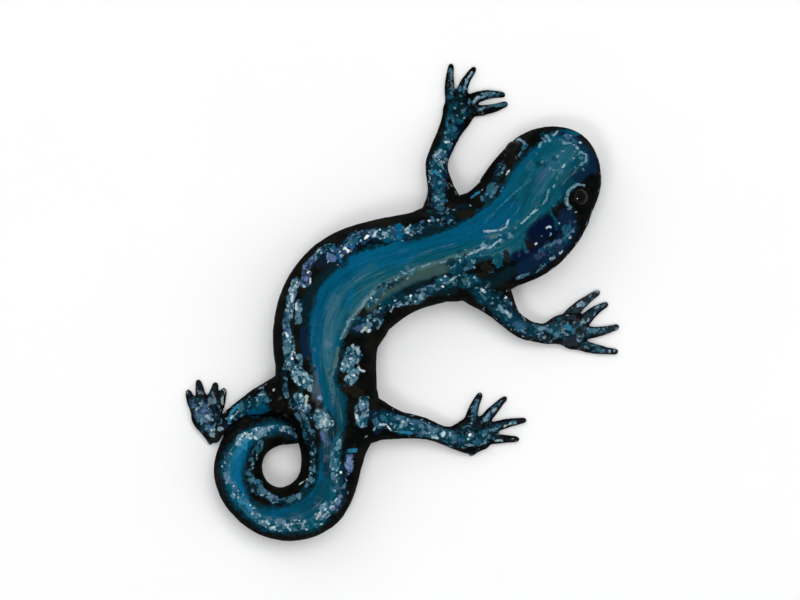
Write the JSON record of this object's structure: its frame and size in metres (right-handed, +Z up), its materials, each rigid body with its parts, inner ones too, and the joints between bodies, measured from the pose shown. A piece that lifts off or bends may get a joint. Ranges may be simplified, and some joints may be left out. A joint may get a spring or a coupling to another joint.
{
  "type": "blue-spotted salamander",
  "caption": "Life-size still model of a blue-spotted salamander lying on its belly, body bent, legs spread and tail curled into a ring.",
  "frame": {"origin": "on the floor below the middle of the whole animal", "axes": "+Z up, +Y towards the front left foot as the picture's top, +X towards the front right foot"},
  "size_m": [0.0739, 0.0813, 0.0129],
  "materials": {
    "back_skin": "moist smooth skin, blue band and pale blue flecks on black",
    "tail_skin": "moist smooth skin, blue band and pale blue flecks on black",
    "leg_skin": "moist smooth skin, black with blue flecks",
    "eye_surface": "wet, glossy black"
  },
  "bodies": {
    "root": {"head": "back_skin", "eye_left": "eye_surface", "eye_right": "eye_surface", "neck": "back_skin", "chest": "back_skin", "belly": "back_skin", "hips": "back_skin", "tail_1": "tail_skin", "tail_2": "tail_skin", "tail_3": "tail_skin", "tail_4": "tail_skin", "upper_arm_front_left": "leg_skin", "forearm_front_left": "leg_skin", "foot_front_left": "leg_skin", "upper_arm_front_right": "leg_skin", "forearm_front_right": "leg_skin", "foot_front_right": "leg_skin", "thigh_rear_left": "leg_skin", "shin_rear_left": "leg_skin", "foot_rear_left": "leg_skin", "thigh_rear_right": "leg_skin", "shin_rear_right": "leg_skin", "foot_rear_right": "leg_skin"}
  },
  "joints": []
}
